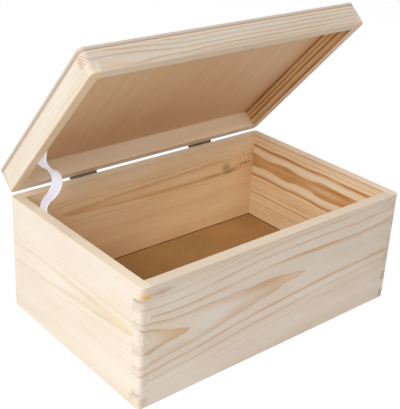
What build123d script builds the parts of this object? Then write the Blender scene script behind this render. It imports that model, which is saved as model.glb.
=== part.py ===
from build123d import *
import math
import os

# Wooden storage box: a finger-jointed pine body with a hardboard bottom, and a framed
# lid on two butt hinges, held back by a ribbon.
# Millimetres. X to the right along the front, Y to the back, Z up. The lid is modelled
# part open. Everything is placed from the middle of the body, and each piece is then
# moved forward as it is written, so that the origin lies on the surface the box stands
# on, at the middle of the whole object with its open lid.

# Body
body_width = 300.0
body_depth = 195.0
body_height = 112.0
wall_thickness = 9.5
corner_radius = 5.0  # the four upright corners of body and lid
base_edge_radius = 2.0
rim_edge_chamfer = 0.6  # the sanded edges where the lid meets the body

# Box joints: fingers of the front and back boards, counted up each corner
finger_height = 10.0
finger_pitch = 20.0
finger_count = 5

# Bottom
bottom_thickness = 3.0
bottom_underside = 14.5
groove_depth = 4.0
groove_side_clearance = 0.5
groove_top_clearance = 0.2

# Lid
rail_thickness = 9.5
rail_height = 17.5
lid_finger_height = 8.8  # from the rim to where the front rail's finger starts
panel_thickness = 5.8
lid_edge_radius = 1.5
lid_open_angle = 48.2

# Hinges
hinge_gap = 0.8  # between the two rims when the lid is shut
hinge_length = 29.0
hinge_spacing = 143.0
hinge_knuckles = 5
knuckle_clearance = 0.2
leaf_thickness = 0.6
leaf_height = 9.0
leaf_corner_radius = 1.2
leaf_notch_clearance = 0.3
pin_diameter = 1.3
pin_clearance = 0.05
hinge_set_off = 0.05  # barrel to the back faces

# Hinge screws
screw_spacing = 17.0
screw_drop = 5.0  # from the rim to the screw's axis
screw_length = 7.0
screw_diameter = 1.8
screw_head_diameter = 3.0
screw_clearance = 0.05
recess_width = 0.5
recess_length = 1.8
recess_depth = 0.5

# Ribbon
ribbon_width = 11.0
ribbon_thickness = 0.6
ribbon_set_back = 45.0  # from the hinge pins to the middle of the ribbon
ribbon_body_tail = 13.0  # below the body's rim
ribbon_lid_tail = 13.0  # above the lid's rim, measured along the rail's height
ribbon_leave_height = 1.0  # above the body's rim, where it leaves the wall
ribbon_meet_gap = 5.0  # below the lid's rim, where it meets the rail
ribbon_bulge = 13.0
ribbon_wall_clearance = 0.1

# Staples
staple_width = 8.0
staple_wire = 0.6
staple_leg = 5.0
staple_body_drop = 8.0  # from the body's rim to the staple
staple_lid_rise = 8.0  # from the lid's rim to the staple
staple_clearance = 0.02

os.makedirs("parts", exist_ok=True)

half_width = body_width / 2
half_depth = body_depth / 2
barrel_radius = pin_diameter / 2 + pin_clearance + leaf_thickness
axis_y = half_depth + barrel_radius + hinge_set_off
axis_z = body_height + hinge_gap / 2
lid_rim = body_height + hinge_gap  # the lid's rim when it is shut
lid_height = rail_height + panel_thickness
hinge_axis = Axis((0, axis_y, axis_z), (-1, 0, 0))


def block(x0, x1, y0, y1, z0, z1):
    """A box between six planes."""
    size = (x1 - x0, y1 - y0, z1 - z0)
    return Pos((x0 + x1) / 2, (y0 + y1) / 2, (z0 + z1) / 2) * Box(*size)


def opened(shape):
    """Turns a piece of the shut lid about the hinge pins to where the lid stands."""
    return shape.rotate(hinge_axis, lid_open_angle)


def one(shape):
    """The single solid of a cut, without its wrapper."""
    return shape.solids().sort_by(SortBy.VOLUME)[-1]


def lid_reach():
    """How far back the open lid's upper back edge comes, from the body's middle."""
    turn = math.radians(lid_open_angle)
    run = axis_y - half_depth
    rise = hinge_gap / 2 + lid_height
    corner = axis_y - run * math.cos(turn) + rise * math.sin(turn)
    return corner - lid_edge_radius * (math.cos(turn) + math.sin(turn) - 1)


forward = (max(lid_reach(), half_depth) - half_depth) / 2


def save(name, *shapes):
    """Writes one node. Several shapes stay separate solids."""
    solids = [Pos(0, -forward, 0) * solid for shape in shapes for solid in shape.solids()]
    item = solids[0] if len(solids) == 1 else Compound(children=solids)
    item.label = name
    export_step(item, os.path.join("parts", name + ".step"))


def eased(z0, z1, edge_radius, rim_above):
    """The outer form of body or lid: rounded corners, a rounded edge all round the
    outer end, and a small sanded chamfer round the rim."""
    shape = block(-half_width, half_width, -half_depth, half_depth, z0, z1)
    shape = fillet(shape.edges().filter_by(Axis.Z), corner_radius)
    outer = 0 if rim_above else -1
    rounded = shape.faces().sort_by(Axis.Z)[outer].edges()
    shape = fillet(rounded, min(edge_radius, corner_radius * 0.9))
    sanded = shape.faces().sort_by(Axis.Z)[-1 - outer].edges()
    return chamfer(sanded, min(rim_edge_chamfer, corner_radius * 0.9))


def corner_bands(thick, bands, side):
    """Blocks that fill one end's corner columns over the given heights."""
    inner = half_width - thick
    blocks = []
    for low, high in bands:
        for y in (-half_depth, half_depth - thick):
            x = side * (inner + half_width) / 2
            blocks.append(block(x - thick / 2, x + thick / 2, y, y + thick, low, high))
    return blocks


def four_boards(form, thick, z0, z1, bands):
    """Front, back, left and right boards with their fingers, cut from one form.

    The bands are the heights at which the front and back boards run through the
    corner. Everywhere else the left and right boards do.
    """
    front = block(-half_width, half_width, -half_depth, -half_depth + thick, z0, z1)
    back = block(-half_width, half_width, half_depth - thick, half_depth, z0, z1)
    left = block(-half_width, -half_width + thick, -half_depth, half_depth, z0, z1)
    right = block(half_width - thick, half_width, -half_depth, half_depth, z0, z1)
    low = [z0] + [band[1] for band in bands]
    high = [band[0] for band in bands] + [z1]
    gaps = [(a, b) for a, b in zip(low, high) if b - a > 1e-6]
    left_gaps = corner_bands(thick, gaps, -1)
    right_gaps = corner_bands(thick, gaps, 1)
    left_through = corner_bands(thick, bands, -1)
    right_through = corner_bands(thick, bands, 1)
    front = (front - left_gaps - right_gaps) & form
    back = (back - left_gaps - right_gaps) & form
    left = (left - left_through) & form
    right = (right - right_through) & form
    return front, back, left, right


# Body boards
middle = body_height / 2
first = middle - (finger_count - 1) / 2 * finger_pitch
body_bands = []
for i in range(finger_count):
    level = first + i * finger_pitch
    body_bands.append((level - finger_height / 2, level + finger_height / 2))
body_form = eased(0, body_height, base_edge_radius, True)
front_board, back_board, left_board, right_board = four_boards(
    body_form, wall_thickness, 0, body_height, body_bands
)

# Bottom panel and the groove that holds it
inner_x = half_width - wall_thickness
inner_y = half_depth - wall_thickness
bottom_top = bottom_underside + bottom_thickness
groove_x = inner_x + groove_depth
groove_y = inner_y + groove_depth
groove_top = bottom_top + groove_top_clearance
groove = block(-groove_x, groove_x, -groove_y, groove_y, bottom_underside, groove_top)
panel_x = groove_x - groove_side_clearance
panel_y = groove_y - groove_side_clearance
bottom_panel = block(
    -panel_x, panel_x, -panel_y, panel_y, bottom_underside, bottom_top
)
front_board -= groove
back_board -= groove
left_board -= groove
right_board -= groove

# Lid frame and panel, in the shut position
rail_top = lid_rim + rail_height
lid_top = lid_rim + lid_height
lid_form = eased(lid_rim, lid_top, lid_edge_radius, False)
lid_bands = [(lid_rim + lid_finger_height, rail_top)]
front_rail, back_rail, left_rail, right_rail = four_boards(
    lid_form, rail_thickness, lid_rim, rail_top, lid_bands
)
lid_panel = lid_form & block(
    -half_width, half_width, -half_depth, half_depth, rail_top, lid_top
)


# Hinges, around the pin's axis with the lid shut: the body leaf hangs down the back
# board and the lid leaf stands up the back rail.
leaf_pitch = (hinge_length + knuckle_clearance) / hinge_knuckles
barrel_inner = pin_diameter / 2 + pin_clearance
face_offset = -(barrel_radius + hinge_set_off)  # the back faces, seen from the pin


def along_x(radius, x0, x1):
    """A round bar along X, on the pin's axis."""
    bar = Cylinder(radius, x1 - x0, rotation=(0, 90, 0))
    return Pos((x0 + x1) / 2, 0, 0) * bar


def screw_at(x, z):
    """A countersunk screw along Y, its head flush with the leaf's outer face."""
    shank = screw_diameter / 2
    head = screw_head_diameter / 2
    outer = face_offset + leaf_thickness
    outline = Polyline(
        (0, 0),
        (head, 0),
        (shank, shank - head),
        (shank, -screw_length),
        (0, -screw_length),
        close=True,
    )
    body = revolve(make_face(outline), Axis.Y)
    for turn in (0, 90):
        slot = Box(recess_width, 2 * recess_depth, recess_length)
        body -= slot.rotate(Axis.Y, turn)
    return Pos(x, outer, z) * body


def screw_hole(x, z):
    """The hole that a screw fills, with its clearance, in the leaf and in the wood."""
    shank = screw_diameter / 2 + screw_clearance
    head = screw_head_diameter / 2 + screw_clearance
    outer = face_offset + leaf_thickness
    outline = Polyline(
        (0, 0),
        (head, 0),
        (shank, shank - head),
        (shank, -screw_length - screw_clearance),
        (0, -screw_length - screw_clearance),
        close=True,
    )
    return Pos(x, outer, z) * revolve(make_face(outline), Axis.Y)


def hinge_leaf(upward):
    """One leaf with its knuckles. The lid leaf has the odd knuckles."""
    sign = 1 if upward else -1
    far = sign * (hinge_gap / 2 + leaf_height)
    near = sign * (barrel_radius + leaf_notch_clearance)
    y0 = face_offset
    y1 = face_offset + leaf_thickness
    half = hinge_length / 2
    plate = block(-half, half, y0, y1, min(near, far), max(near, far))
    outer_edges = plate.edges().filter_by(Axis.Y).sort_by(Axis.Z)
    corners = outer_edges[-2:] if upward else outer_edges[:2]
    leaf = fillet(corners, leaf_corner_radius)
    for i in range(hinge_knuckles):
        if (i % 2 == 0) != upward:
            continue
        x0 = -half + i * leaf_pitch
        x1 = x0 + leaf_pitch - knuckle_clearance
        leaf += along_x(barrel_radius, x0, x1)
        leaf += block(x0, x1, y0, y1, min(0, near), max(0, near))
    leaf -= along_x(barrel_inner, -half - 1, half + 1)
    for x in (-screw_spacing / 2, screw_spacing / 2):
        leaf -= screw_hole(x, sign * (hinge_gap / 2 + screw_drop))
    return one(leaf)


pin = along_x(pin_diameter / 2, -hinge_length / 2, hinge_length / 2)
leaf_down = hinge_leaf(False)
leaf_up = hinge_leaf(True)
screw_level = hinge_gap / 2 + screw_drop

hinges = {}
body_screws = []
lid_screws = []
for side, name in ((-1, "left"), (1, "right")):
    place = Pos(side * hinge_spacing / 2, axis_y, axis_z)
    hinges[name + "_hinge_body_leaf"] = place * leaf_down
    hinges[name + "_hinge_lid_leaf"] = opened(place * leaf_up)
    hinges[name + "_hinge_pin"] = place * pin
    for x in (-screw_spacing / 2, screw_spacing / 2):
        body_screws.append(place * screw_at(x, -screw_level))
        lid_screws.append(opened(place * screw_at(x, screw_level)))
        back_board -= place * screw_hole(x, -screw_level)
        back_rail -= place * screw_hole(x, screw_level)

front_rail = opened(front_rail)
back_rail = opened(back_rail)
left_rail = opened(left_rail)
right_rail = opened(right_rail)
lid_panel = opened(lid_panel)


# Ribbon. Its path lies in an upright plane across the hinge pins: up the left wall,
# out in a slack bow, and back to the lid's left rail. At the lid, heights above the
# rim are turned with the lid.
def lid_level(height):
    """World height of the point on the lid at the ribbon's set back."""
    turn = math.radians(lid_open_angle)
    rise = hinge_gap / 2 + height
    run = (ribbon_set_back + rise * math.sin(turn)) / math.cos(turn)
    return axis_z + run * math.sin(turn) + rise * math.cos(turn)


wall_x = -half_width + wall_thickness
flat_x = wall_x + ribbon_wall_clearance + ribbon_thickness / 2
ribbon_y = axis_y - ribbon_set_back
ribbon_low = body_height - ribbon_body_tail
leave_z = body_height + ribbon_leave_height
meet_z = lid_level(0) - ribbon_meet_gap
ribbon_high = lid_level(ribbon_lid_tail) - ribbon_width / 2 * math.tan(
    math.radians(lid_open_angle)
)
bow_turn = 2 * math.atan(2 * ribbon_bulge / (meet_z - leave_z))
bow_radius = (meet_z - leave_z) / (4 * math.sin(bow_turn))


def bow_point(z_side, share, offset):
    """A point of the bow's outer arcs. z_side is -1 at the wall and 1 at the lid."""
    angle = share * bow_turn
    centre = (flat_x + bow_radius, leave_z if z_side < 0 else meet_z)
    radius = bow_radius + offset
    x = centre[0] - radius * math.cos(angle)
    z = centre[1] - z_side * radius * math.sin(angle)
    return (x, z)


def crest_point(share, offset):
    """A point of the bow's middle arc, from -1 at its lower end to 1 at its upper."""
    angle = share * bow_turn
    x = flat_x + ribbon_bulge - bow_radius + (bow_radius + offset) * math.cos(angle)
    z = (leave_z + meet_z) / 2 + (bow_radius + offset) * math.sin(angle)
    return (x, z)


def ribbon_side(offset):
    """One long edge of the ribbon's section, offset to the room side."""
    x = flat_x + offset
    a = bow_point(-1, 1, -offset)
    b = bow_point(1, 1, -offset)
    return [
        Line((x, ribbon_low), (x, leave_z)),
        ThreePointArc((x, leave_z), bow_point(-1, 0.5, -offset), a),
        ThreePointArc(a, crest_point(0, offset), b),
        ThreePointArc(b, bow_point(1, 0.5, -offset), (x, meet_z)),
        Line((x, meet_z), (x, ribbon_high)),
    ]


half_ribbon = ribbon_thickness / 2
ends = [
    Line((flat_x - half_ribbon, ribbon_low), (flat_x + half_ribbon, ribbon_low)),
    Line((flat_x - half_ribbon, ribbon_high), (flat_x + half_ribbon, ribbon_high)),
]
section = make_face(ribbon_side(-half_ribbon) + ribbon_side(half_ribbon) + ends)
upright = Plane(origin=(0, ribbon_y, 0), x_dir=(1, 0, 0), z_dir=(0, -1, 0))
ribbon = extrude(upright * section, ribbon_width / 2, both=True)


def staple(z, clearance):
    """A wire staple across the ribbon, with its legs in the wood to the left."""
    wire = staple_wire / 2 + clearance
    half = staple_width / 2
    face = flat_x + half_ribbon
    crown = block(face, face + staple_wire, -half - wire, half + wire, -wire, wire)
    tip = wall_x - staple_leg - clearance
    for y in (-half, half):
        leg = block(tip, face, y - wire, y + wire, -wire, wire)
        crown += leg
    return Pos(0, ribbon_y, z) * crown


body_staple = staple(body_height - staple_body_drop, 0)
lid_staple_z = lid_level(staple_lid_rise)
lid_staple = staple(lid_staple_z, 0)
ribbon -= staple(body_height - staple_body_drop, staple_clearance)
ribbon -= staple(lid_staple_z, staple_clearance)
left_board -= staple(body_height - staple_body_drop, staple_clearance)
left_rail -= staple(lid_staple_z, staple_clearance)

save("front_board", front_board)
save("back_board", back_board)
save("left_board", left_board)
save("right_board", right_board)
save("bottom_panel", bottom_panel)
save("lid_front_rail", front_rail)
save("lid_back_rail", back_rail)
save("lid_left_rail", left_rail)
save("lid_right_rail", right_rail)
save("lid_panel", lid_panel)
for name, shape in hinges.items():
    save(name, shape)
save("hinge_body_screws", *body_screws)
save("hinge_lid_screws", *lid_screws)
save("ribbon", ribbon)
save("ribbon_body_staple", body_staple)
save("ribbon_lid_staple", lid_staple)

# How far the lid can open before the slack ribbon is pulled straight.
straight = ribbon_high - ribbon_low
slack = 4 * bow_radius * bow_turn - (meet_z - leave_z)
print("moved forward by", round(forward, 3))
print("hinge axis y, z", round(axis_y - forward, 3), round(axis_z, 3))
print("lid staple height", round(lid_staple_z, 2))
print("ribbon slack", round(slack, 2), "of", round(straight + slack, 2))
staple_span = lid_staple_z - (body_height - staple_body_drop)
low = math.hypot(ribbon_set_back, axis_z - (body_height - staple_body_drop))
high = math.hypot(ribbon_set_back, lid_staple_z - axis_z)
now = math.acos((low**2 + high**2 - staple_span**2) / (2 * low * high))
reach = (low**2 + high**2 - (staple_span + slack) ** 2) / (2 * low * high)
taut = lid_open_angle + math.degrees(math.acos(max(-1, min(1, reach))) - now)
print("ribbon taut with the lid open", round(taut, 1), "degrees")
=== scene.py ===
import math
import bpy
from mathutils import Matrix, Vector


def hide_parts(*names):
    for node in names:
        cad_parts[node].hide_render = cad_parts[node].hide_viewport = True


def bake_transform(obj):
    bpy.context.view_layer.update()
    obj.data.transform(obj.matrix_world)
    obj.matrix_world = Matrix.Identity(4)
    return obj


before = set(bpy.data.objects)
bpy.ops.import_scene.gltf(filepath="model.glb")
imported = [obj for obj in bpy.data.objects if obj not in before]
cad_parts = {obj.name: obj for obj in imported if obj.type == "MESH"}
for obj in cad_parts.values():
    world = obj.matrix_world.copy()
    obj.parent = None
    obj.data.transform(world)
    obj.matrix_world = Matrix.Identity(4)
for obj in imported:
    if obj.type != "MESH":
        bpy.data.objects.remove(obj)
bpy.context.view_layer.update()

# A finger-jointed pine storage box with its framed lid standing part open, and a woven
# ribbon between the left wall and the lid. Sizes are in millimetres, from the middle of
# the body on the surface that it stands on, until placed() turns them to metres.

MM = 0.001
forward = 8.75  # the whole model stands this far forward of the body's middle
half_width = 150.0
half_depth = 97.5
wall_thickness = 9.5
bottom_top = 17.5  # the bottom panel's upper face
lid_rim = 112.8  # the lid's rim when it is shut
lid_height = 23.3
panel_underside = 17.5  # above the lid's rim
hinge_y = 98.85
hinge_z = 112.4
lid_open_angle = 48.2

inner_left = -half_width + wall_thickness
inner_right = half_width - wall_thickness
inner_back = half_depth - wall_thickness
to_right, to_left, to_back, to_front = (1, 0, 0), (-1, 0, 0), (0, 1, 0), (0, -1, 0)


def placed(x, y, z):
    """A point given from the body's middle, in the frame's metres."""
    return Vector((x, y - forward, z)) * MM


hinge_pin = placed(0, hinge_y, hinge_z)
lid_turn = (
    Matrix.Translation(hinge_pin)
    @ Matrix.Rotation(math.radians(-lid_open_angle), 4, "X")
    @ Matrix.Translation(-hinge_pin)
)


# ---------------------------------------------------------------- colours and nodes


def colour(hex_code):
    """An sRGB hex value as the linear colour that a shader takes."""
    parts = [int(hex_code[i : i + 2], 16) / 255 for i in (1, 3, 5)]
    return [c / 12.92 if c <= 0.04045 else ((c + 0.055) / 1.055) ** 2.4 for c in parts] + [1.0]


def feed(tree, node, links):
    """Gives each named input a value, a colour as hex, or another node or socket."""
    for key, value in links.items():
        if isinstance(value, bpy.types.Node):
            value = value.outputs[0]
        if isinstance(value, bpy.types.NodeSocket):
            tree.links.new(value, node.inputs[key])
        else:
            node.inputs[key].default_value = colour(value) if isinstance(value, str) else value


def add(tree, kind, links=None, points=None, stops=None, smooth=True, **settings):
    """Adds one node, with links for its inputs and settings for the node itself. points
    shape a curve, smooth or in straight lines, and stops colour a ramp."""
    node = tree.nodes.new("ShaderNode" + kind)
    for name, value in settings.items():
        setattr(node, name, value)
    feed(tree, node, links or {})
    if points:
        node.mapping.use_clip = False
        line = node.mapping.curves[0].points
        for i, (x, y) in enumerate(points):
            if i < 2:
                line[i].location = (x, y)
            else:
                line.new(x, y)
        for point in line:
            point.handle_type = "AUTO_CLAMPED" if smooth else "VECTOR"
        node.mapping.update()
    if stops:
        ramp = node.color_ramp.elements
        while len(ramp) < len(stops):
            ramp.new(1.0)
        for stop, (place, tint) in zip(ramp, stops):
            stop.position = place
            stop.color = colour(tint)
    return node


def maths(tree, operation, *values, **settings):
    """A sum on one to three values: MULTIPLY_ADD is the first two multiplied, plus the third."""
    return add(tree, "Math", dict(enumerate(values)), operation=operation, **settings)


def vectors(tree, operation, *values):
    """A sum on one or two vectors that gives a vector."""
    return add(tree, "VectorMath", dict(enumerate(values)), operation=operation)


def measured(tree, operation, *values):
    """A sum on one or two vectors that gives a number, such as LENGTH or DOT_PRODUCT."""
    return vectors(tree, operation, *values).outputs["Value"]


def curve(tree, value, points, smooth=True):
    """The height of a curve through the points, at value."""
    return add(tree, "FloatCurve", {"Value": value}, points=points, smooth=smooth)


def ranged(tree, value, low, high, to_low=0.0, to_high=1.0, **settings):
    """value moved from between low and high to between to_low and to_high, and held there."""
    links = {"Value": value, "From Min": low, "From Max": high, "To Min": to_low, "To Max": to_high}
    return add(tree, "MapRange", links, **settings)


def mix(tree, share, first, second, **settings):
    """The first colour where share is 0, and the second where it is 1."""
    return add(tree, "MixRGB", {"Fac": share, "Color1": first, "Color2": second}, **settings)


def waves(tree, distance, pitch):
    """A sine wave over a distance, from -1 to 1."""
    return maths(tree, "SINE", maths(tree, "MULTIPLY", distance, 2 * math.pi / pitch))


def finish_named(name):
    """A new material with its node tree and its Principled shader."""
    material = bpy.data.materials.new(name)
    material.use_nodes = True
    tree = material.node_tree
    tree.nodes.clear()
    shader = add(tree, "BsdfPrincipled")
    add(tree, "OutputMaterial", {"Surface": shader})
    return material, tree, shader


def dress(tree, shader, base_colour, relief, strength, height, sockets):
    """Gives the shader its colour, its relief of so many millimetres, and the rest."""
    links = {"Height": relief, "Strength": strength, "Distance": height * MM}
    bump = add(tree, "Bump", links)
    feed(tree, shader, {"Base Color": base_colour, "Normal": bump, **sockets})


def board_axes(corner, along, through, on_lid=False):
    """A board's own axes: along its grain, through its thickness and across its face."""
    a, t = Vector(along), Vector(through)
    axes = Matrix((a, t, a.cross(t))).transposed().to_4x4()
    axes.translation = placed(*corner)
    return lid_turn @ axes if on_lid else axes


def board_coordinates(tree, axes):
    """The point being shaded in the board's millimetres, how far it is end grain, from 0
    to 1, and how far its face looks along the board's thickness, from -1 to 1."""
    place = add(tree, "TexCoord")
    links = {
        "Vector": place.outputs["Object"],
        "Location": axes.translation,
        "Rotation": axes.to_euler("XYZ"),
        "Scale": (MM, MM, MM),
    }
    own = add(tree, "Mapping", links, vector_type="TEXTURE")
    along, through, _ = axes.to_3x3().col
    facing = measured(tree, "DOT_PRODUCT", place.outputs["Normal"], along)
    end = ranged(tree, maths(tree, "ABSOLUTE", facing), 0.55, 0.9)
    looks = measured(tree, "DOT_PRODUCT", place.outputs["Normal"], through)
    return own, end, looks


def spot(tree, own, along, across, length, height):
    """A soft oval on the board's face, 1 in its middle and falling off to 0."""
    any_depth = 1e6
    off = vectors(tree, "SUBTRACT", own, (along, 0, across))
    off = vectors(tree, "DIVIDE", off, (length, any_depth, height))
    falling = maths(tree, "MULTIPLY", measured(tree, "DOT_PRODUCT", off, off), -1)
    return maths(tree, "EXPONENT", falling)


def streaks(tree, own, length, width, detail):
    """Noise drawn out along the grain, its marks about so many millimetres long and wide."""
    shrunk = vectors(tree, "MULTIPLY", own, (1 / length, 1 / width, 1 / width))
    return add(tree, "TexNoise", {"Vector": shrunk, "Scale": 1.0, "Detail": detail})


# ---------------------------------------------------------------- pine

# sizes that all the pine shares
bulge_height = 14.0  # how far above and below the pith a bulge reaches
outer_rings = 29  # rings drawn beyond the listed ones
outer_width = 0.45  # their latewood's share of the ring
late_until = 0.96  # where in its ring the latewood ends
end_ring_pitch = 1.9
knot_ring_pitch = 4.2
knot_ring_strength = 0.34
knot_ring_offset = 22  # the arcs' middle, along from the knot
knot_ring_reach = (11, 14)


def sanded_pine(
    name,
    axes,
    pith_height,
    pith_depth,
    rings,
    spacing=3.0,
    outer_strength=0.35,
    bulge=None,
    flames=(),
    pushes=(),
    knots=(),
    marks=(),
    earlywood="#F0E5D7",
    latewood="#DFBA8E",
    # painted light: warmer colours for the faces turned into the box
    inside_painted_bounce="#FBE5C4",
    inside_latewood_painted_bounce="#D59E50",
    inside_face=1,
    ends="#ECDFCE",
    end_lines=0.15,
    depth_scale=1.0,
):
    """Flat-sawn pine, planed and sanded and left bare: pale earlywood with narrower,
    harder and more orange latewood lines. The lines are the cut of the tree's rings, so
    they run as long flames on the face and as arcs on the end grain. Bare wood has no
    gloss.

    pith_height and pith_depth say where the tree's middle runs, against the distance
    along the board. rings gives each latewood line's radius, strength and width as a
    share of its ring, and beyond them rings follow at the spacing. flames strengthen the
    lines, pushes move them and marks tint the wood, each round a place: its distance
    along and up the board, and how far it reaches along and up. A knot is such a place.
    Some marks are painted light and shade, not the wood's own colour. The faces turned
    into the box take warmer colours, painted light for the warm light bouncing about in it.
    inside_face is 1 where the board's thickness runs into the box, and -1 where it runs
    out of it."""
    material, tree, shader = finish_named(name)
    own, end, looks = board_coordinates(tree, axes)
    along, through, across = add(tree, "SeparateXYZ", {0: own}).outputs

    # distance from the pith
    height = curve(tree, along, pith_height)
    depth = curve(tree, along, pith_depth)
    up = maths(tree, "SUBTRACT", across, height)
    deep = maths(tree, "MULTIPLY", through, depth_scale)
    deep = maths(tree, "SUBTRACT", deep, depth)
    radius = measured(tree, "LENGTH", add(tree, "CombineXYZ", {0: up, 1: deep}))
    if bulge:
        swell = curve(tree, along, bulge)
        near = maths(tree, "DIVIDE", up, bulge_height)
        near = maths(tree, "MULTIPLY", near, near)
        near = maths(tree, "EXPONENT", maths(tree, "MULTIPLY", near, -1.0))
        radius = maths(tree, "MULTIPLY_ADD", near, swell, radius)
    for where, amount in pushes:
        radius = maths(tree, "MULTIPLY_ADD", spot(tree, own, *where), amount, radius)

    # the lines wander a little, over 60 mm and again over 15 mm
    for length, width, sway in ((60, 16, 1.0), (15, 5, 0.5)):
        wander = maths(tree, "SUBTRACT", streaks(tree, own, length, width, 1.0), 0.5)
        radius = maths(tree, "MULTIPLY_ADD", wander, sway, radius)

    # ring number, and how far the wood is through its ring
    last = rings[-1][0]
    rings = rings + [
        (last + spacing * i, outer_strength, outer_width) for i in range(1, outer_rings + 1)
    ]
    radii = [0.0] + [ring[0] for ring in rings]
    count = curve(tree, radius, [(r, i) for i, r in enumerate(radii)], smooth=False)
    whole = maths(tree, "FLOOR", count)
    share = maths(tree, "FRACT", count)
    strength = curve(tree, whole, [(i, ring[1]) for i, ring in enumerate(rings)], smooth=False)
    width = curve(tree, whole, [(i, ring[2]) for i, ring in enumerate(rings)], smooth=False)
    begin = maths(tree, "SUBTRACT", 1.0, width)
    late = ranged(tree, share, begin, late_until, interpolation_type="SMOOTHSTEP")

    # the lines fade and strengthen along the board, and end grain has finer ones
    fade = ranged(tree, streaks(tree, own, 70, 9, 2.0), 0.3, 0.7, 0.55, 1.3)
    late = maths(tree, "MULTIPLY", maths(tree, "MULTIPLY", late, strength), fade)
    arcs = ranged(tree, waves(tree, radius, end_ring_pitch), -0.6, 1.0, 0.0, end_lines)
    late = mix(tree, end, late, arcs)
    for where, amount in flames:
        more = maths(tree, "MULTIPLY_ADD", spot(tree, own, *where), amount, 1.0)
        late = maths(tree, "MULTIPLY", late, more)

    # the rings close up in arcs beside a knot
    for knot_along, knot_across, _, _ in knots:
        off = vectors(tree, "SUBTRACT", own, (knot_along, 0, knot_across))
        off = vectors(tree, "MULTIPLY", off, (0.8, 0, 1))
        arc = waves(tree, measured(tree, "LENGTH", off), knot_ring_pitch)
        zone = spot(tree, own, knot_along + knot_ring_offset, knot_across, *knot_ring_reach)
        arc = maths(tree, "MULTIPLY", maths(tree, "MULTIPLY", arc, zone), knot_ring_strength)
        late = maths(tree, "ADD", late, arc, use_clamp=True)

    # warm clouds, fine fibres 0.8 mm wide, and the odd short resin canal
    clouds = ranged(tree, streaks(tree, own, 110, 14, 2.0), 0.3, 0.75, 0.0, 0.30)
    fibres = ranged(tree, streaks(tree, own, 26, 0.8, 2.0), 0.25, 0.75, -0.08, 0.12)
    canals = ranged(tree, streaks(tree, own, 6, 0.5, 0.0), 0.74, 0.82, 0.0, 0.25)
    tinted = maths(tree, "ADD", maths(tree, "ADD", late, clouds), fibres)
    tinted = maths(tree, "ADD", tinted, canals, use_clamp=True)

    # painted light: the faces turned into the box take warmer, more orange copies of the
    # wood's colours, standing for the warm light that bounces about within the box
    turned_in_painted_bounce = ranged(tree, maths(tree, "MULTIPLY", looks, inside_face), 0.4, 0.8)
    pale = mix(tree, end, mix(tree, turned_in_painted_bounce, earlywood, inside_painted_bounce), ends)
    line = mix(tree, end, mix(tree, turned_in_painted_bounce, latewood, inside_latewood_painted_bounce), "#B49C86")
    tone = mix(tree, tinted, "#FFFFFF", line)
    wood = mix(tree, 1.0, pale, tone, blend_type="MULTIPLY")
    # some marks are painted light and shade, the others the wood's own tints
    for where, amount, tint in marks:
        mark = maths(tree, "MULTIPLY", spot(tree, own, *where), amount, use_clamp=True)
        wood = mix(tree, mark, wood, tint)
    for knot in knots:
        core = ranged(tree, spot(tree, own, *knot), 0.1, 0.9, 0.0, 0.75)
        wood = mix(tree, core, wood, mix(tree, fibres, "#B59070", "#8C6A50"))

    # latewood stands a hair above the softer wood, and is a little smoother
    rough = ranged(tree, tinted, 0.0, 1.0, 0.72, 0.58)
    relief = maths(tree, "MULTIPLY_ADD", fibres, 1.5, late)
    dress(tree, shader, wood, relief, 0.25, 0.12, {"Roughness": rough, "IOR": 1.5})
    return material


finishes = {}
finishes["front_board"] = sanded_pine(
    "bare_pine_front",
    board_axes((-half_width, -half_depth, 0), to_right, to_back),
    pith_height=[
        (0, 58), (50, 59.5), (100, 64), (150, 67.5), (200, 69.5), (250, 71), (300, 72.5),
    ],
    pith_depth=[
        (0, 15.5), (12, 17.1), (25, 18.9), (40, 19.7), (50, 20), (100, 21.7),
        (150, 22.7), (200, 24.9), (250, 26.2), (300, 25.5),
    ],
    rings=[
        (6, 0.4, 0.4), (8, 0.4, 0.4), (10, 0.4, 0.4), (12, 0.4, 0.4), (14, 0.4, 0.4),
        (16.2, 0.4, 0.4), (20.05, 0.8, 0.8), (25.5, 0.42, 0.6), (31.05, 0.6, 0.5),
        (37.6, 0.45, 0.35), (45, 0.25, 0.3), (48.8, 0.2, 0.4), (51.5, 0.2, 0.4),
        (54.3, 0.15, 0.4),
    ],
    outer_strength=0.12,
    bulge=[(0, 0), (60, 0.3), (100, 2), (150, 2.4), (180, 1.45), (300, 1.5)],
    flames=[
        ((150, 72, 35, 6), 0.6), ((207, 88, 35, 4), 0.9), ((245, 54, 50, 4), 0.5),
        ((150, 98, 120, 5), 0.4), ((150, 107, 220, 5), 1.4),
    ],
    pushes=[
        ((6, 71, 20, 11), -2.6), ((8, 51, 20, 8), 1.8), ((130, 96, 90, 5), -1.5),
        ((250, 55, 60, 6), -1.5), ((176, 76, 14, 5), 0.7), ((176, 62, 10, 4), 0.35),
    ],
    marks=[
        ((20, 103.5, 10, 2.2), 0.8, "#B08C74"),  # the dark streak by the corner
        ((25, 64, 20, 7), 0.3, "#EBC99A"),  # in the small flame
        ((160, 69, 14, 5), 0.25, "#EBC99A"),  # in the large flame's tip
        ((150, 109, 300, 10), 0.45, "#D2BCA2"),  # painted shade: the top of the face darkened tan, where less light bounces up from the floor
        ((240, 71, 60, 11), 0.4, "#D0C3B6"),  # the plain wood on the right
        ((35, 12, 45, 14), 0.4, "#F2E8DC"),  # painted light: the low left of the face made paler, where light bounces up from the floor
        ((0, 99.6, 4, 1.2), 0.6, "#AA8470"),  # joint lines at the left end
        ((0, 13.5, 2.5, 1.7), 0.4, "#8E7C70"),
        ((150, 112, 400, 0.6), 0.85, "#E4D4BF"),  # painted light: the rim and its eased edges made paler and warmer, for light from above
        ((287, 60, 12, 60), 0.3, "#CDBBA4"),  # the right end
    ],
    earlywood="#E3D8CB",
    ends="#F3E7D8",
    end_lines=0.34,
)
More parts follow.
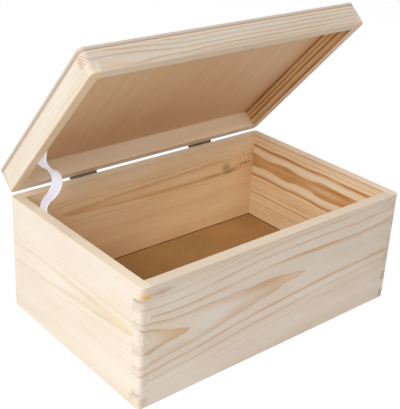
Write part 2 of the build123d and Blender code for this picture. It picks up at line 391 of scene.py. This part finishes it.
finishes["left_board"] = sanded_pine(
    "bare_pine_left",
    board_axes((-half_width, half_depth, 0), to_front, to_right),
    pith_height=[(0, 59.8), (50, 62), (100, 64.3), (150, 66), (188, 67)],
    pith_depth=[(0, 14), (50, 13.5), (100, 15.2), (150, 16.2), (188, 17.1)],
    rings=[
        (13.5, 0, 0.1), (17.1, 0.4, 0.8), (20.8, 0.3, 0.3), (24.5, 0.3, 0.3),
        (28.5, 0.2, 0.3),
    ],
    spacing=3.6,
    outer_strength=0.05,
    marks=[
        ((80, 104, 130, 12), 0.3, "#E2D4C6"),  # painted shade: the upper face made greyer and darker, where it takes less light
        ((170, 66, 14, 6), 0.4, "#F1D5A4"),  # in the flame
        ((195, 102.6, 3.5, 4.2), 0.85, "#DCAE68"),  # the resin spot at the corner
        ((185.5, 94, 1.2, 5), 0.35, "#B4946C"),  # joint lines
        ((185, 9.5, 2.5, 2.5), 0.4, "#9C8670"),
        ((97, 112, 400, 0.6), 0.85, "#F6E7CF"),  # painted light: the rim and its eased edges made paler and warmer, for light from above
    ],
    latewood="#E4D0AE",
    end_lines=0.2,
)
finishes["right_board"] = sanded_pine(
    "bare_pine_right",
    board_axes((inner_right, inner_back, bottom_top), to_front, to_right),
    pith_height=[(0, 65.5), (180, 65.5)],
    pith_depth=[
        (0, -11.7), (25, -12.9), (50, -11.8), (65, -12.8), (85, -12.8), (100, -11.3),
        (130, -12.3), (176, -12),
    ],
    rings=[
        (14.15, 0.74, 0.95), (21.8, 0.75, 0.55), (26, 0.45, 0.4), (28.6, 0.45, 0.4),
        (31.6, 0.45, 0.4), (34.2, 0.6, 0.4), (39.9, 0.8, 0.3), (44, 0.25, 0.4),
        (47, 0.2, 0.4), (50, 0.75, 0.3),
    ],
    spacing=3.5,
    outer_strength=0.15,
    flames=[((70, 83, 90, 4), 0.6)],
    marks=[
        # painted light: a paler band along the top of the face, where more light reaches
        ((85, 90, 200, 4), 0.35, "#FFF0DA"),
        ((85, 76.8, 120, 3.2), 0.8, "#FDF1DE"),  # the pale bands beside the dark one
        ((80, 54.6, 120, 2.8), 0.7, "#FBEEDA"),
        ((85, 93.2, 200, 0.7), 0.5, "#B98C5C"),  # a line just under the edge
        ((40, 94.5, 90, 0.5), 1.0, "#FEE5C5"),  # painted light: the rim's back part made paler and warmer, under the open lid's shade
    ],
    # painted light: warmer colours for the faces turned into the box
    inside_painted_bounce="#FFE9C3",
    inside_latewood_painted_bounce="#C4903F",
    inside_face=-1,
    ends="#DACBBA",
    end_lines=0.3,
    depth_scale=1.22,
)
finishes["back_board"] = sanded_pine(
    "bare_pine_back",
    board_axes((inner_left, inner_back, bottom_top), to_right, to_back),
    pith_height=[(0, 64), (50, 64.5), (100, 64.6), (150, 64.8), (200, 65.5), (281, 66)],
    pith_depth=[
        (0, -11.5), (37, -10.05), (60, -9.2), (100, -8.3), (150, -7), (200, -6.5), (281, -6),
    ],
    rings=[
        (10, 0.4, 0.35), (13.8, 0.28, 0.3), (17.2, 0.28, 0.3), (20, 0.18, 0.4),
        (24, 0.08, 0.4), (29, 0.06, 0.4),
    ],
    spacing=5.0,
    outer_strength=0.05,
    flames=[((255, 76, 34, 8), -0.85), ((262, 50, 34, 6), -0.7)],
    pushes=[((226, 44, 26, 9), -3.0), ((222, 82, 22, 8), -2.5)],
    knots=[(241.5, 65, 5.5, 4.5)],
    marks=[
        ((80, 6, 60, 17), 0.6, "#D8A774"),  # shade low on the left
        ((185, 57.5, 34, 2.2), 0.5, "#D9A75C"),  # streaks round the knot
        ((268, 64.5, 9, 1.8), 0.75, "#AE7838"),
        ((252, 61.5, 9, 2.6), 0.5, "#B98A50"),
        ((246, 59, 8, 2.4), 0.6, "#8E6844"),
        ((225, 59.2, 16, 2.0), 0.5, "#BC8B4C"),
        ((70, 64, 36, 4.5), 0.25, "#E2B26C"),  # in the long flame
        ((140, 88, 200, 9), 0.5, "#FFEFD6"),  # painted light: the top of the face made paler, where more light reaches
        ((140, 94.5, 400, 0.5), 1.0, "#FFEFD6"),  # painted light: the rim made paler and warmer, under the open lid's shade
    ],
    # painted light: a warmer colour for the face turned into the box
    inside_painted_bounce="#FDE3B8",
    inside_face=-1,
    ends="#F6EBDD",
    end_lines=0.06,
)
finishes["lid_front_rail"] = sanded_pine(
    "bare_pine_lid_front",
    board_axes((-half_width, -half_depth, lid_rim), to_right, to_back, on_lid=True),
    pith_height=[(0, -1), (50, -7), (100, -16.8), (150, -16.5), (300, -16.5)],
    pith_depth=[(0, 28.4), (50, 25.9), (100, 17.6), (150, 16.9), (300, 17)],
    rings=[
        (20, 0.2, 0.4), (25.1, 0.5, 0.35), (27.8, 0.6, 0.5), (31, 0.65, 0.45),
        (34.3, 0.65, 0.45), (37.7, 0.6, 0.45), (41.1, 0.3, 0.4),
    ],
    spacing=3.2,
    pushes=[((32, 9.5, 24, 4), -1.6), ((15, 16, 15, 4), -0.8)],
    marks=[
        ((25, 3.8, 16, 2.2), 0.55, "#E3B582"),  # the orange spot by the corner
        ((150, 2.2, 300, 1.5), 0.35, "#C4AA8C"),  # shade along the lower edge
        ((150, 0, 400, 0.6), 1.0, "#E5D2BB"),  # painted light: the rim made paler and warmer, for the light that reaches it from below
    ],
    earlywood="#D5CBBE",
    end_lines=0.7,
)
finishes["lid_left_rail"] = sanded_pine(
    "bare_pine_lid_left",
    board_axes((-half_width, half_depth, lid_rim), to_front, to_right, on_lid=True),
    pith_height=[(0, -20), (195, -26)],
    pith_depth=[(0, 20), (195, 24)],
    rings=[(28, 0.2, 0.4), (31, 0.25, 0.4)],
    spacing=3.2,
    outer_strength=0.2,
    # painted light: the rim given a warmer colour of its own, for the light from below
    marks=[((97, 0, 400, 0.6), 1.0, "#E9D1AE")],
    earlywood="#EAE1D4",
    latewood="#E2CC9C",
)
finishes["lid_back_rail"] = sanded_pine(
    "bare_pine_lid_back",
    board_axes((-half_width, inner_back, lid_rim), to_right, to_back, on_lid=True),
    pith_height=[(0, 60), (300, 54)],
    pith_depth=[(0, -20), (300, -24)],
    rings=[(28, 0.12, 0.4), (31, 0.12, 0.4)],
    outer_strength=0.08,
    # painted light: warmer colours for the face turned into the box
    inside_painted_bounce="#FFEFD6",
    inside_latewood_painted_bounce="#E4C49C",
    inside_face=-1,
)
finishes["lid_right_rail"] = sanded_pine(
    "bare_pine_lid_right",
    board_axes((inner_right, half_depth, lid_rim), to_front, to_right, on_lid=True),
    pith_height=[(0, 40), (90, 40.4), (195, 40)],
    pith_depth=[(0, -14), (195, -14)],
    rings=[(28.5, 0.8, 0.9), (32, 1.0, 0.5), (36.2, 1.0, 0.6), (43.2, 1.0, 0.6)],
    # painted light: the rim given a warmer colour of its own, for the light from below
    marks=[((97, 0, 400, 0.6), 1.0, "#E8CBAA")],
    # painted light: warmer colours for the face turned into the box
    inside_painted_bounce="#F2D2A0",
    inside_latewood_painted_bounce="#AC7A46",
    inside_face=-1,
)


# ---------------------------------------------------------------- the two panels


def hardboard(name):
    """Hardboard, smooth side up: brown wood fibre pressed flat, with a fine felted
    mottle and a slight sheen from the press."""
    felt_size, mottle_size = 1.6, 45
    shade_from, shade_full = 2.0, 0.8  # from the wall
    material, tree, shader = finish_named(name)
    own, _, _ = board_coordinates(tree, board_axes((0, 0, bottom_top), to_right, to_back))
    felt = add(tree, "TexNoise", {"Vector": own, "Scale": 1 / felt_size, "Detail": 3.0})
    broad = add(tree, "TexNoise", {"Vector": own, "Scale": 1 / mottle_size, "Detail": 2.0})
    both = maths(tree, "MULTIPLY_ADD", broad, 0.4, felt)
    brown = add(tree, "ValToRGB", {"Fac": both}, stops=[(0.42, "#9A7544"), (0.98, "#CBA06A")])
    # painted shade: the last millimetre or two before the walls is darkened, where the panel meets
    # them
    part = add(tree, "SeparateXYZ", {0: own})
    for axis, half in (("X", half_width), ("Y", half_depth)):
        wall = half - wall_thickness
        out = maths(tree, "ABSOLUTE", part.outputs[axis])
        out = ranged(tree, out, wall - shade_from, wall - shade_full)
        brown = mix(tree, out, brown, "#6A4018")
    sockets = {"Roughness": 0.65, "IOR": 1.5, "Specular IOR Level": 0.3}
    dress(tree, shader, brown, felt, 0.2, 0.1, sockets)
    return material


def plywood(name):
    """Thin birch-type plywood: a plain rotary-cut face with faint streaks, and on its
    edge the plies with a dark glue line between them."""
    material, tree, shader = finish_named(name)
    axes = board_axes((-half_width, -half_depth, lid_rim), to_back, to_left, on_lid=True)
    own, _, _ = board_coordinates(tree, axes)
    height = add(tree, "SeparateXYZ", {0: own}).outputs["Z"]
    normal = add(tree, "TexCoord").outputs["Normal"]
    facing = measured(tree, "DOT_PRODUCT", normal, axes.to_3x3().col[2])
    top = ranged(tree, facing, 0.3, 0.8)
    under = ranged(tree, facing, -0.3, -0.8)
    faint = streaks(tree, own, 120, 7, 3.0)
    fibres = streaks(tree, own, 18, 0.9, 2.0)
    figure = maths(tree, "MULTIPLY_ADD", fibres, 0.5, faint)
    face = add(tree, "ValToRGB", {"Fac": figure}, stops=[(0.45, "#E6D3B8"), (1.0, "#D8BF9A")])
    below = add(tree, "ValToRGB", {"Fac": figure}, stops=[(0.45, "#F0CFAB"), (1.0, "#E8C39B")])
    plies = [
        (0.0, "#DCC8B0"), (0.22, "#D8C4AC"), (0.31, "#A68D76"), (0.40, "#B09A88"),
        (0.62, "#CCBBAE"), (1.0, "#D6C6B8"),
    ]
    ply = ranged(tree, height, panel_underside, lid_height)
    edge = add(tree, "ValToRGB", {"Fac": ply}, stops=plies)
    wood = mix(tree, under, mix(tree, top, edge, face), below)
    dress(tree, shader, wood, figure, 0.2, 0.1, {"Roughness": 0.6, "IOR": 1.5})
    return material


finishes["bottom_panel"] = hardboard("hardboard")
finishes["lid_panel"] = plywood("plywood")


# ---------------------------------------------------------------- metal


def plated_metal(name, pale, dark, roughness, mottle):
    """Small pressed or drawn steel parts with a thin plated or bronzed coat. The coat is
    uneven over so many millimetres (mottle), with hair-fine handling marks."""
    mark_size = 0.4 * MM
    material, tree, shader = finish_named(name)
    place = add(tree, "TexCoord").outputs["Object"]
    uneven = add(tree, "TexNoise", {"Vector": place, "Scale": 1 / (mottle * MM), "Detail": 3.0})
    coat = add(tree, "ValToRGB", {"Fac": uneven}, stops=[(0.35, dark), (0.7, pale)])
    rough = ranged(tree, uneven, 0.0, 1.0, roughness - 0.08, roughness + 0.1)
    marks = add(tree, "TexNoise", {"Vector": place, "Scale": 1 / mark_size, "Detail": 2.0})
    dress(tree, shader, coat, marks, 0.15, 0.03, {"Roughness": rough, "Metallic": 1.0})
    return material


bronzed = plated_metal("bronzed_steel", "#806C5B", "#665346", 0.38, 3.0)
bronzed_screw = plated_metal("bronzed_screw", "#8E7050", "#62492F", 0.32, 2.0)
staple_wire = plated_metal("zinc_plated_wire", "#D2D2CE", "#A8A8A6", 0.28, 1.5)
for hinge in ("left_hinge", "right_hinge"):
    finishes[hinge + "_body_leaf"] = bronzed
    finishes[hinge + "_lid_leaf"] = bronzed
    finishes[hinge + "_pin"] = bronzed_screw
for part in ("body", "lid"):
    finishes["hinge_" + part + "_screws"] = bronzed_screw
    finishes["ribbon_" + part + "_staple"] = staple_wire

for node, material in finishes.items():
    for material_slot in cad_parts[node].material_slots:
        material_slot.material = material


# ---------------------------------------------------------------- ribbon

ribbon_width = 11.0
ribbon_thickness = 0.6
ribbon_length = 87.2

# Middle of the ribbon and the direction across it, from its lower end upward: flat on
# the wall, out over the rim in a slack bow that twists a little, and flat on the lid.
ribbon_run = [
    ((-140.1, 53.9, 99.0), (0.0, -1.0, 0.0)),
    ((-140.1, 53.9, 107.0), (0.0, -1.0, 0.0)),
    ((-139.9, 56.6, 113.7), (0.0, -1.0, 0.07)),
    ((-137.2, 56.9, 119.4), (0.02, -1.0, 0.06)),
    ((-132.1, 55.3, 125.3), (0.2, -1.0, 0.0)),
    ((-128.3, 54.1, 132.5), (0.36, -1.0, -0.05)),
    ((-127.6, 54.3, 140.1), (0.47, -1.0, -0.06)),
    ((-130.7, 55.5, 146.1), (0.5, -1.0, -0.03)),
    ((-136.1, 56.9, 150.4), (0.47, -1.0, -0.02)),
    ((-139.7, 57.1, 155.4), (0.38, -1.0, 0.06)),
    ((-140.2, 55.9, 162.4), (0.06, -1.0, 0.04)),
    ((-140.1, 53.9, 169.8), (0.0, -1.0, 0.0)),
    ((-140.1, 53.9, 176.4), (0.0, -1.0, 0.0)),
]


def between(values, share):
    """A smooth curve through given points, at share 0 to 1 of its points."""
    last = len(values) - 1
    place = min(share * last, last - 1e-9)
    i = int(place)
    t = place - i
    a, b, c, d = (Vector(values[min(max(j, 0), last)]) for j in (i - 1, i, i + 1, i + 2))
    square = 2 * a - 5 * b + 4 * c - d
    cube = 3 * b - a - 3 * c + d
    return 0.5 * (2 * b + (c - a) * t + square * t**2 + cube * t**3)


def woven_ribbon_mesh():
    """The ribbon as a strip of its real thickness, thinner at its two selvedges."""
    rows, columns = 96, 8
    step = 0.005  # share of the run either side, over which its direction is taken
    middles = [run[0] for run in ribbon_run]
    crossings = [run[1] for run in ribbon_run]
    mesh = bpy.data.meshes.new("ribbon_cloth")
    points, faces, weave = [], [], []
    for side in (1, -1):
        for i in range(rows + 1):
            share = i / rows
            middle = between(middles, share)
            ahead = between(middles, min(share + step, 1)) - between(middles, max(share - step, 0))
            ahead.normalize()
            across = between(crossings, share).normalized()
            normal = across.cross(ahead).normalized()
            across = ahead.cross(normal).normalized()
            for j in range(columns + 1):
                off = j / columns - 0.5
                fullness = 0.5 if j in (0, columns) else 1.0
                thick = side * ribbon_thickness / 2 * fullness
                points.append(placed(*(middle + across * off * ribbon_width + normal * thick)))
                weave.append((off * ribbon_width, share * ribbon_length))
    row = columns + 1
    layer = (rows + 1) * row
    for base, flip in ((0, False), (layer, True)):
        for i in range(rows):
            for j in range(columns):
                a = base + i * row + j
                quad = [a, a + 1, a + row + 1, a + row]
                faces.append(quad[::-1] if flip else quad)
    # close the strip all round between its two sides
    rim = [i * row for i in range(rows + 1)]
    rim += [rows * row + j for j in range(1, row)]
    rim += [i * row + columns for i in range(rows - 1, -1, -1)]
    rim += list(range(columns - 1, 0, -1))
    for a, b in zip(rim, rim[1:] + rim[:1]):
        faces.append([a, b, b + layer, a + layer])
    mesh.from_pydata(points, [], faces)
    mesh.update()
    coordinates = mesh.uv_layers.new(name="weave")
    for loop in mesh.loops:
        coordinates.data[loop.index].uv = weave[loop.vertex_index]
    for face in mesh.polygons:
        face.use_smooth = True
    return mesh


def ribbon_weave(name):
    """White woven polyester ribbon: fine cross ribs, a soft sheen and brighter selvedges.
    The real threads are 0.25 mm apart; the ribs are drawn at 0.7 mm so that they show."""
    rib_pitch, warp_pitch = 0.7, 0.5
    selvedge_from, selvedge_full = 4.4, 4.9  # from the ribbon's middle
    material, tree, shader = finish_named(name)
    weave = add(tree, "TexCoord").outputs["UV"]
    across, along, _ = add(tree, "SeparateXYZ", {0: weave}).outputs
    ribs = waves(tree, along, rib_pitch)
    warp = waves(tree, across, warp_pitch)
    cloth = maths(tree, "MULTIPLY", ribs, warp)
    side = maths(tree, "ABSOLUTE", across)
    selvedge = ranged(tree, side, selvedge_from, selvedge_full)
    white = mix(tree, ranged(tree, cloth, -1.0, 1.0), "#CBC9D9", "#E9E7F3")
    white = mix(tree, selvedge, white, "#F6F5FA")
    sockets = {"Roughness": 0.55, "Sheen Weight": 0.2, "Sheen Roughness": 0.4}
    dress(tree, shader, white, cloth, 0.3, 0.08, sockets)
    return material


ribbon = bpy.data.objects.new("ribbon_cloth", woven_ribbon_mesh())
bpy.context.collection.objects.link(ribbon)
ribbon.data.materials.append(ribbon_weave("woven_ribbon"))
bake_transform(ribbon)
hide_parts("ribbon")


# ---------------------------------------------------------------- camera, floor, light

# in metres from here on
camera_place = (-0.48864, -0.54752, 0.45096)
camera_heading = -40.0828
camera_dip = 24.8163
camera_roll = 2.6369
floor_reach = 6.0
floor_glow = 0.93  # what the camera sees of the floor, besides its shadows
backdrop_glow = 0.94
room_light = 0.1
lamp_size = 1.2
lamp_target = Vector((0, 0, 0.08))

lens = bpy.data.cameras.new("camera")
lens.lens = 77.561
lens.sensor_width = 36.0
lens.shift_x = 0.0489
lens.shift_y = -0.03545
lens.clip_start = 0.01
camera = bpy.data.objects.new("camera", lens)
bpy.context.collection.objects.link(camera)
camera.matrix_world = (
    Matrix.Translation(camera_place)
    @ Matrix.Rotation(math.radians(camera_heading), 4, "Z")
    @ Matrix.Rotation(math.radians(90 - camera_dip), 4, "X")
    @ Matrix.Rotation(math.radians(camera_roll), 4, "Z")
)
bpy.context.scene.camera = camera
bpy.context.scene.view_settings.view_transform = "Standard"


def background_rays(tree):
    """1 for the rays that show the background, straight to the camera or in gloss, and
    0 for those that light the box."""
    path = add(tree, "LightPath").outputs
    seen = maths(tree, "MAXIMUM", path["Is Camera Ray"], path["Is Glossy Ray"])
    return maths(tree, "MAXIMUM", seen, path["Is Transmission Ray"])


corners = [(x * floor_reach, y * floor_reach, 0) for x, y in ((-1, -1), (1, -1), (1, 1), (-1, 1))]
floor_mesh = bpy.data.meshes.new("floor")
floor_mesh.from_pydata(corners, [], [(0, 1, 2, 3)])
floor = bpy.data.objects.new("floor", floor_mesh)
bpy.context.collection.objects.link(floor)
floor_material = bpy.data.materials.new("studio_floor")
floor_material.use_nodes = True
floor_tree = floor_material.node_tree
floor_tree.nodes.clear()
seen = background_rays(floor_tree)
ground = add(floor_tree, "BsdfDiffuse", {"Color": mix(floor_tree, seen, "#FCFBF9", "#6C6C6C")})
glow = maths(floor_tree, "MULTIPLY", seen, floor_glow)
shown = add(floor_tree, "Emission", {"Color": "#FFFFFF", "Strength": glow})
add(floor_tree, "OutputMaterial", {"Surface": add(floor_tree, "AddShader", {0: ground, 1: shown})})
floor_mesh.materials.append(floor_material)

world = bpy.data.worlds.new("studio")
bpy.context.scene.world = world
world.use_nodes = True
world_tree = world.node_tree
world_tree.nodes.clear()
soft = add(world_tree, "Background", {"Color": "#FFFFFF", "Strength": room_light})
white = add(world_tree, "Background", {"Color": "#FFFFFF", "Strength": backdrop_glow})
either = add(world_tree, "MixShader", {"Fac": background_rays(world_tree), 1: soft, 2: white})
add(world_tree, "OutputWorld", {"Surface": either})


def softbox(name, position, watts):
    """A square soft white light that faces the box."""
    lamp = bpy.data.lights.new(name, "AREA")
    lamp.shape = "SQUARE"
    lamp.size = lamp_size
    lamp.energy = watts
    holder = bpy.data.objects.new(name, lamp)
    bpy.context.collection.objects.link(holder)
    holder.location = position
    holder.rotation_euler = (lamp_target - Vector(position)).to_track_quat("-Z", "Y").to_euler()


softbox("window_side", (-1.75, -0.60, 1.05), 20.8)
softbox("window_back", (-1.9, 0.2, 0.8), 9.5)
softbox("front_fill", (0.35, -1.5, 1.5), 12.6)
softbox("above", (0.0, 0.0, 2.1), 13.0)
